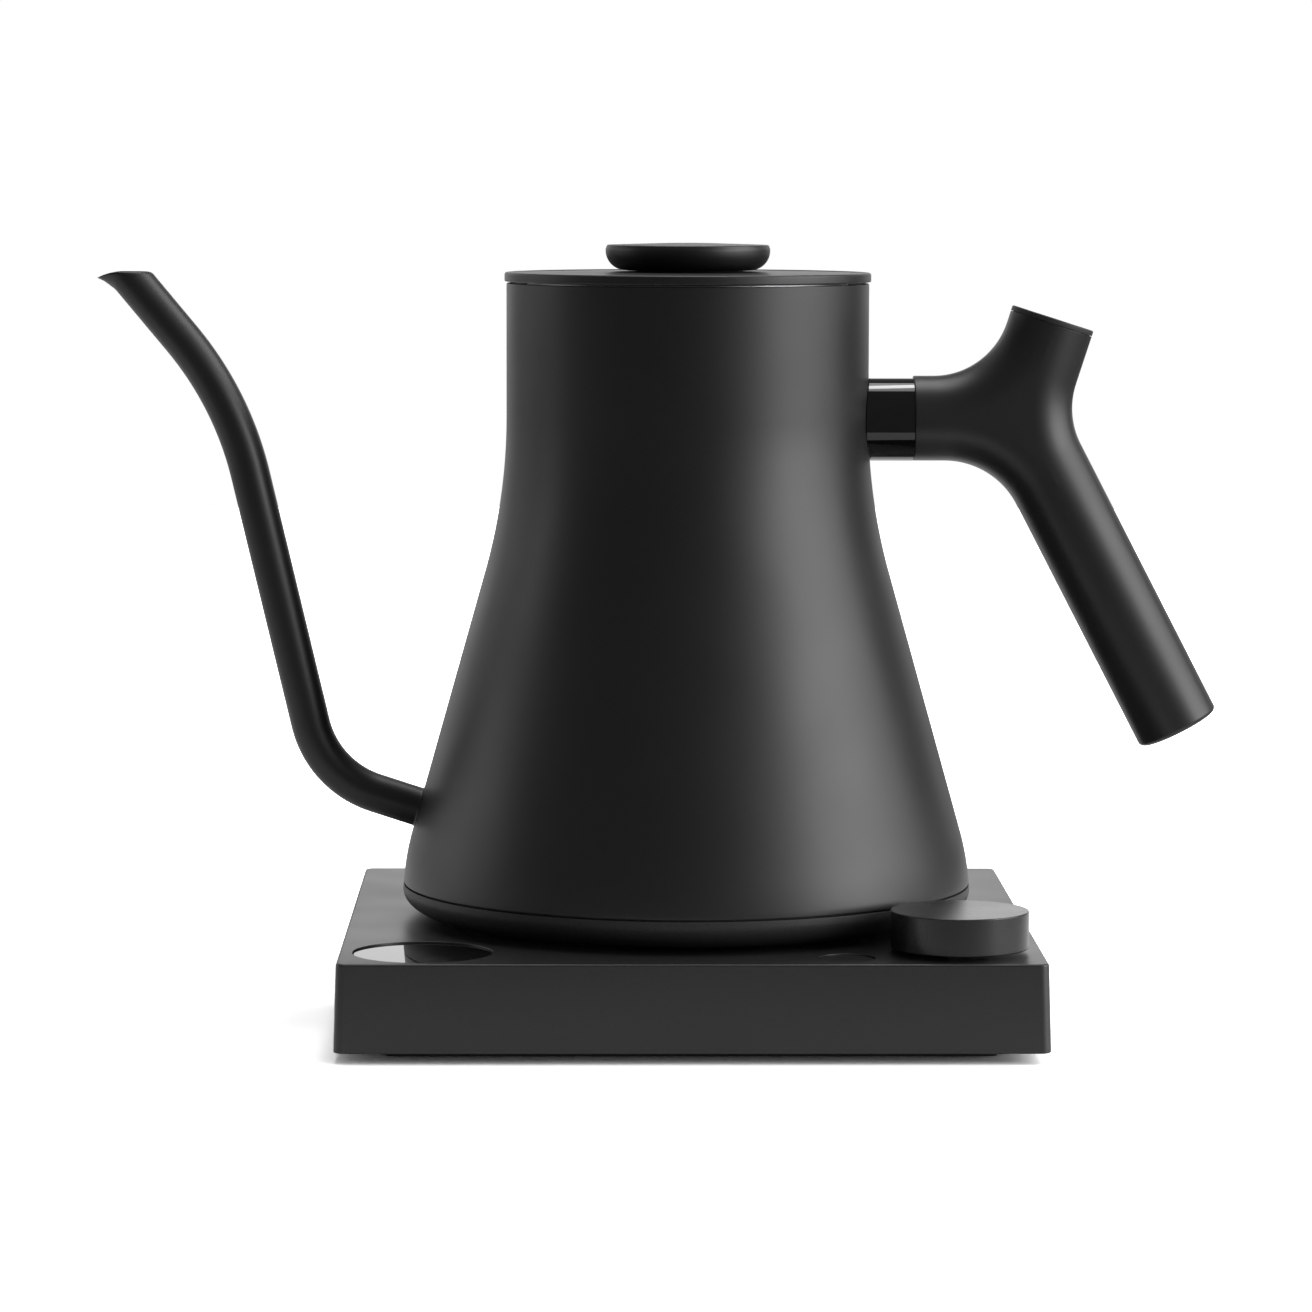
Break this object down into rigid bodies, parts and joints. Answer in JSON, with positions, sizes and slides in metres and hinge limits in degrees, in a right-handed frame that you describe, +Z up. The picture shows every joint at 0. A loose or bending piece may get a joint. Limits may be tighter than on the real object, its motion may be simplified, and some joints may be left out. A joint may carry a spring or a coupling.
{
  "type": "electric kettle",
  "caption": "Gooseneck electric kettle with a flared conical body, bent tube spout, forked side grip and lift-off lid, standing on a square base with a dial, a round display and a push button.",
  "frame": {"origin": "centre of the square base, on the plane that it stands on, which is also on the kettle's own axis", "axes": "+X towards the handle, -X towards the spout, -Y towards the side with the dial and the display, +Z up"},
  "size_m": [0.2871, 0.1761, 0.1973],
  "materials": {
    "powder_black": "matte powder coat with a fine grain",
    "black_plastic": "matte moulded plastic",
    "soft_grip": "matte soft-touch moulding",
    "rubber": "matte",
    "display_glass": "polished, mirror-like",
    "gloss_black": "polished",
    "white_parts": "matte",
    "circuit_board": "lacquered",
    "relay_blue": "matte",
    "capacitor_yellow": "matte",
    "capacitor_sleeve": "glossy sleeve",
    "lead_sleeve": "matte silicone sleeve",
    "brass": "satin",
    "aluminium": "satin",
    "steel": "brushed",
    "zinc": "bright zinc plate",
    "silicone": "matte"
  },
  "bodies": {
    "base": {"base_housing": "powder_black", "base_plate": "black_plastic", "foot_ring": "rubber", "housing_screws": "zinc", "display_lens": "display_glass", "display_frame": "black_plastic", "display_panel": "white_parts", "ui_board": "circuit_board", "encoder_body": "zinc", "encoder_nut": "zinc", "button_switch": "zinc", "main_board": "circuit_board", "power_relay": "relay_blue", "transformer": "capacitor_yellow", "film_capacitor": "capacitor_yellow", "smoothing_capacitors": "capacitor_sleeve", "mains_fuse": "white_parts", "buzzer": "black_plastic", "terminal_block": "white_parts", "board_screws": "zinc", "socket_housing": "black_plastic", "socket_contacts": "brass", "socket_screws": "zinc", "cord_gland": "rubber", "cord_clamp": "black_plastic"},
    "dial_plunger": {"encoder_plunger": "white_parts"},
    "dial": {"dial_knob": "powder_black", "encoder_shaft": "zinc"},
    "power_button": {"power_button": "powder_black"},
    "kettle_plug": {"plug_housing": "black_plastic", "plug_rings": "brass", "plug_pin": "brass"},
    "kettle": {"body_shell": "powder_black", "spout": "powder_black", "kettle_floor": "steel", "diffuser_plate": "aluminium", "heating_element": "steel", "temperature_probe": "steel", "probe_seal": "silicone", "thermal_cutout": "white_parts", "element_leads": "lead_sleeve", "floor_studs": "steel", "bottom_cover": "black_plastic", "bottom_seal": "silicone", "bottom_screws": "zinc", "kettle_feet": "rubber", "handle_neck": "gloss_black", "handle_tang": "steel", "grip": "soft_grip", "grip_cap": "black_plastic", "cap_disc": "gloss_black", "handle_screw": "zinc", "handle_weight": "zinc"},
    "lid": {"lid_plate": "powder_black", "lid_skirt": "steel", "lid_gasket": "silicone", "lid_knob": "powder_black", "knob_washer": "rubber", "lid_screw": "zinc"}
  },
  "joints": [
    {"name": "dial_press", "type": "slide", "parent": "base", "child": "dial_plunger", "axis": [0, 0, -1], "range_m": [0, 0.0006], "stiffness_N_per_m": 4000, "springref_m": -0.0005},
    {"name": "dial_turn", "type": "hinge", "parent": "dial_plunger", "child": "dial", "pos_m": [0.066, -0.0665, 0.03], "axis": [0, 0, 1], "continuous": true},
    {"name": "button_press", "type": "slide", "parent": "base", "child": "power_button", "axis": [0, 0, -1], "range_m": [0, 0.0008], "stiffness_N_per_m": 2500, "springref_m": -0.0005},
    {"name": "kettle_lift", "type": "slide", "parent": "base", "child": "kettle_plug", "axis": [0, 0, 1], "range_m": [0, 0.07]},
    {"name": "kettle_turn", "type": "hinge", "parent": "kettle_plug", "child": "kettle", "pos_m": [0, 0, 0.03], "axis": [0, 0, 1], "continuous": true},
    {"name": "lid_lift", "type": "slide", "parent": "kettle", "child": "lid", "axis": [0, 0, 1], "range_m": [0, 0.04]}
  ]
}
